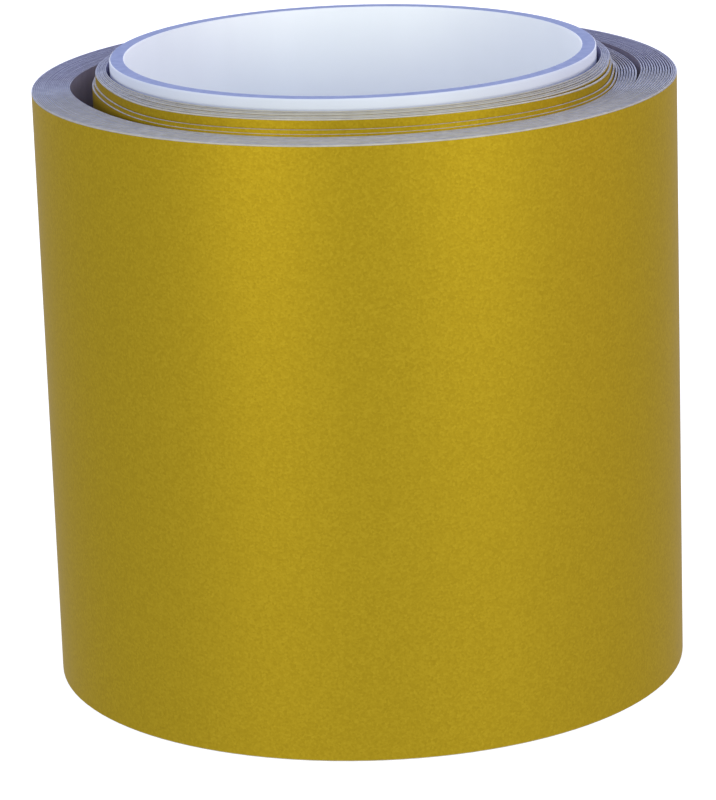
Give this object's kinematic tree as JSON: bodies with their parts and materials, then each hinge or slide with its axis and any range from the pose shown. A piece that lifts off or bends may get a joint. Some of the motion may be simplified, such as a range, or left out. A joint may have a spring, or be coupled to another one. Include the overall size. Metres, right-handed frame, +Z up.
{
  "type": "roll of sign vinyl",
  "caption": "Gold self-adhesive sign film on its release liner, wound on a plastic core and standing on end, with loose slid wraps and a tail that unrolls.",
  "frame": {"origin": "centre of the ring that the core stands on, midway in the roll's width and depth", "axes": "+Z up along the core's axis; the web is wound counter-clockwise outwards seen from above, and its free end is at the back, towards +Y"},
  "size_m": [0.1076, 0.1078, 0.1062],
  "materials": {
    "core": "satin",
    "film": "satin",
    "liner": "matte",
    "tape": "satin"
  },
  "bodies": {
    "inner_roll": {"core": "core", "start_tape": "tape", "inner_film": "film", "inner_liner": "liner"},
    "mid_wraps": {"mid_film": "film", "mid_liner": "liner"},
    "outer_wraps": {"outer_film": "film", "outer_liner": "liner"},
    "tail_1": {"tail_film_1": "film", "tail_liner_1": "liner"},
    "tail_2": {"tail_film_2": "film", "tail_liner_2": "liner"},
    "tail_3": {"tail_film_3": "film", "tail_liner_3": "liner"},
    "tail_4": {"tail_film_4": "film", "tail_liner_4": "liner"},
    "tail_5": {"tail_film_5": "film", "tail_liner_5": "liner"},
    "tail_6": {"tail_liner_6": "liner"},
    "film_end": {"tail_film_6": "film", "closing_tape": "tape"},
    "tape_flap": {"closing_tape_flap": "tape"}
  },
  "joints": [
    {"name": "mid_slide", "type": "slide", "parent": "inner_roll", "child": "mid_wraps", "axis": [0, 0, 1], "range_m": [0, 0.009]},
    {"name": "outer_slide", "type": "slide", "parent": "mid_wraps", "child": "outer_wraps", "axis": [0, 0, 1], "range_m": [0, 0.009]},
    {"name": "tail_unroll_1", "type": "hinge", "parent": "outer_wraps", "child": "tail_1", "pos_m": [0.04655, 0.02688, 0.0508], "axis": [0, 0, -1], "range_deg": [0, 15], "stiffness_Nm_per_rad": 0.02},
    {"name": "tail_unroll_2", "type": "hinge", "parent": "tail_1", "child": "tail_2", "pos_m": [0.03802, 0.03802, 0.0508], "axis": [0, 0, -1], "range_deg": [0, 15]},
    {"name": "tail_unroll_3", "type": "hinge", "parent": "tail_2", "child": "tail_3", "pos_m": [0.02689, 0.04658, 0.0508], "axis": [0, 0, -1], "range_deg": [0, 15]},
    {"name": "tail_unroll_4", "type": "hinge", "parent": "tail_3", "child": "tail_4", "pos_m": [0.01392, 0.05196, 0.0508], "axis": [0, 0, -1], "range_deg": [0, 15]},
    {"name": "tail_unroll_5", "type": "hinge", "parent": "tail_4", "child": "tail_5", "pos_m": [0, 0.05381, 0.0508], "axis": [0, 0, -1], "range_deg": [0, 15]},
    {"name": "tail_unroll_6", "type": "hinge", "parent": "tail_5", "child": "tail_6", "pos_m": [-0.01393, 0.05199, 0.0508], "axis": [0, 0, -1], "range_deg": [0, 15]},
    {"name": "film_peel", "type": "hinge", "parent": "tail_6", "child": "film_end", "pos_m": [-0.01393, 0.05199, 0.0508], "axis": [0, 0, -1], "range_deg": [0, 60]},
    {"name": "tape_lift", "type": "hinge", "parent": "film_end", "child": "tape_flap", "pos_m": [-0.027, 0.04677, 0.0508], "axis": [0, 0, -1], "range_deg": [0, 110]}
  ],
  "couplings": [
    {"joint": "outer_slide", "follows": "mid_slide", "ratio": 1},
    {"joint": "tail_unroll_2", "follows": "tail_unroll_1", "ratio": 1},
    {"joint": "tail_unroll_3", "follows": "tail_unroll_1", "ratio": 1},
    {"joint": "tail_unroll_4", "follows": "tail_unroll_1", "ratio": 1},
    {"joint": "tail_unroll_5", "follows": "tail_unroll_1", "ratio": 1},
    {"joint": "tail_unroll_6", "follows": "tail_unroll_1", "ratio": 1}
  ]
}
